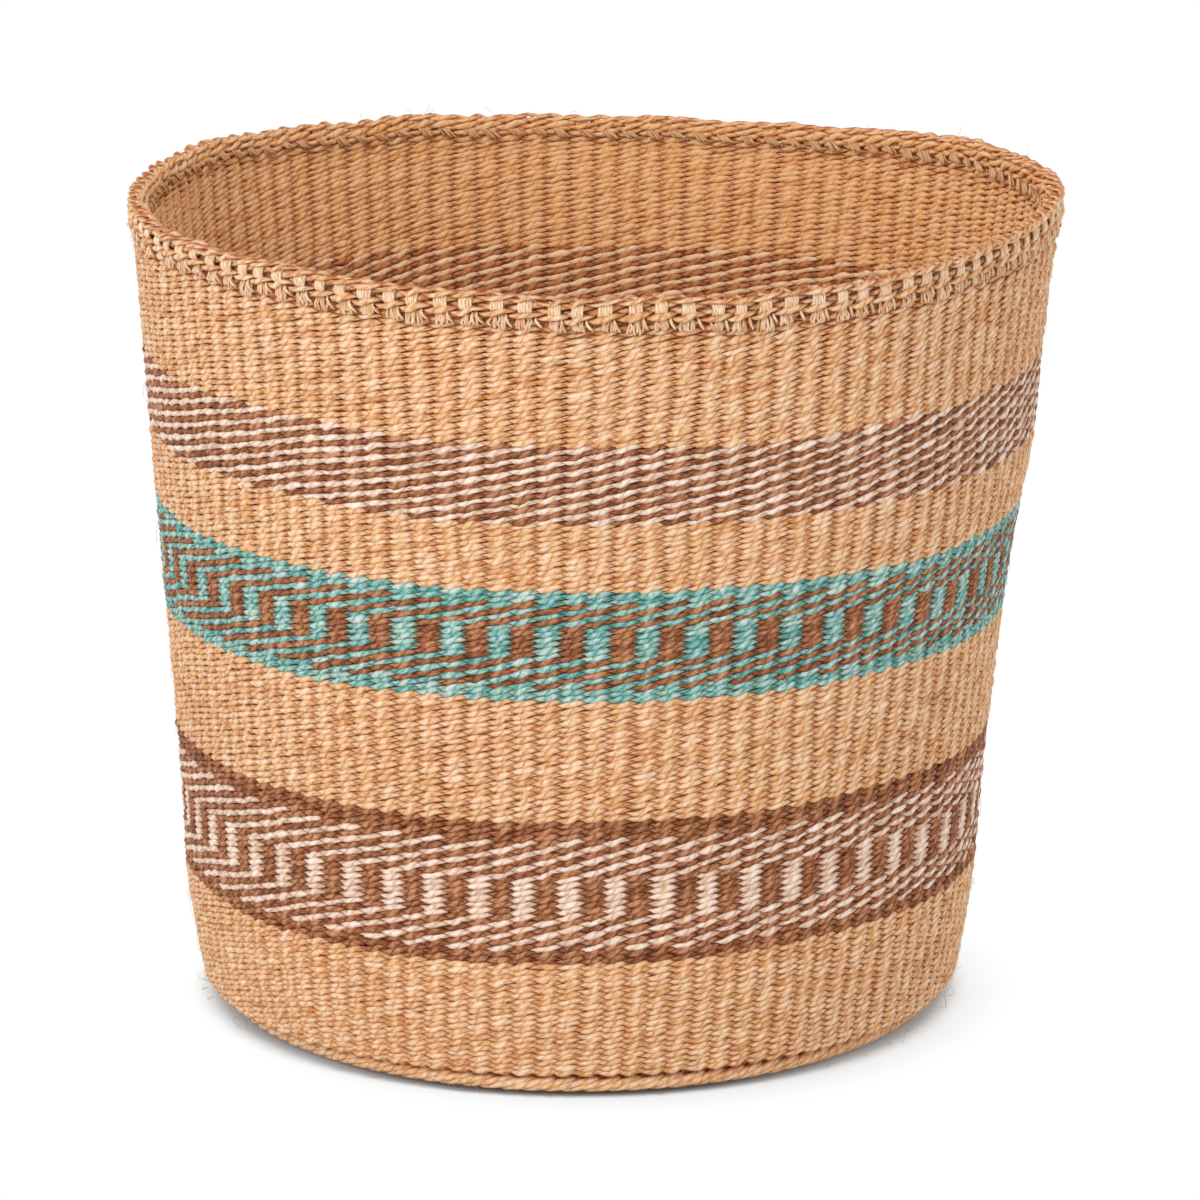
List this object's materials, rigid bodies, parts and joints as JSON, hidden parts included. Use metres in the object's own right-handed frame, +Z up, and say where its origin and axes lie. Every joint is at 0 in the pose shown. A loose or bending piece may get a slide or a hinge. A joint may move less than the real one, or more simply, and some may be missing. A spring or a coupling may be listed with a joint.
{
  "type": "sisal basket",
  "caption": "Round tapered storage basket of twined sisal with striped colour bands, ribbed wall, flat base and corded rim.",
  "frame": {"origin": "middle of the base on the surface the basket stands on", "axes": "+Z up along the basket's axis, towards the mouth; +Y away from the viewer of the picture, +X to the viewer's right"},
  "size_m": [0.3812, 0.3812, 0.3366],
  "materials": {
    "sisal_tan": "matt twisted sisal yarn, honey tan, with paler and darker fibres",
    "sisal_pale": "matt undyed sisal of the warps, pale straw",
    "sisal_heel": "matt thick sisal cord, slightly redder than the wall",
    "sisal_brown": "matt dyed brown sisal yarn with lighter fibres",
    "sisal_cream": "matt pale cream sisal yarn with a faint pink cast",
    "sisal_teal": "matt dyed blue-green sisal yarn with pale fibres",
    "brown_cream_weave": "brown and cream sisal yarns twined together",
    "teal_brown_weave": "blue-green and brown sisal yarns twined together"
  },
  "bodies": {
    "root": {"base_start_knot": "sisal_pale", "base_inner_rounds": "sisal_tan", "base_outer_rounds": "sisal_tan", "heel_cord": "sisal_heel", "lower_tan_band": "sisal_tan", "brown_border_under": "sisal_brown", "cream_check_band": "brown_cream_weave", "brown_border_over": "sisal_brown", "middle_tan_band": "sisal_tan", "teal_border_under": "sisal_teal", "teal_check_band": "teal_brown_weave", "teal_border_over": "sisal_teal", "upper_tan_band": "sisal_tan", "diagonal_band": "brown_cream_weave", "top_tan_band": "sisal_tan", "rim_trimmed_ends": "sisal_tan", "rim_lower_cord": "sisal_tan", "rim_warp_folds": "sisal_pale", "rim_top_strand_a": "sisal_tan", "rim_top_strand_b": "sisal_tan"}
  },
  "joints": []
}
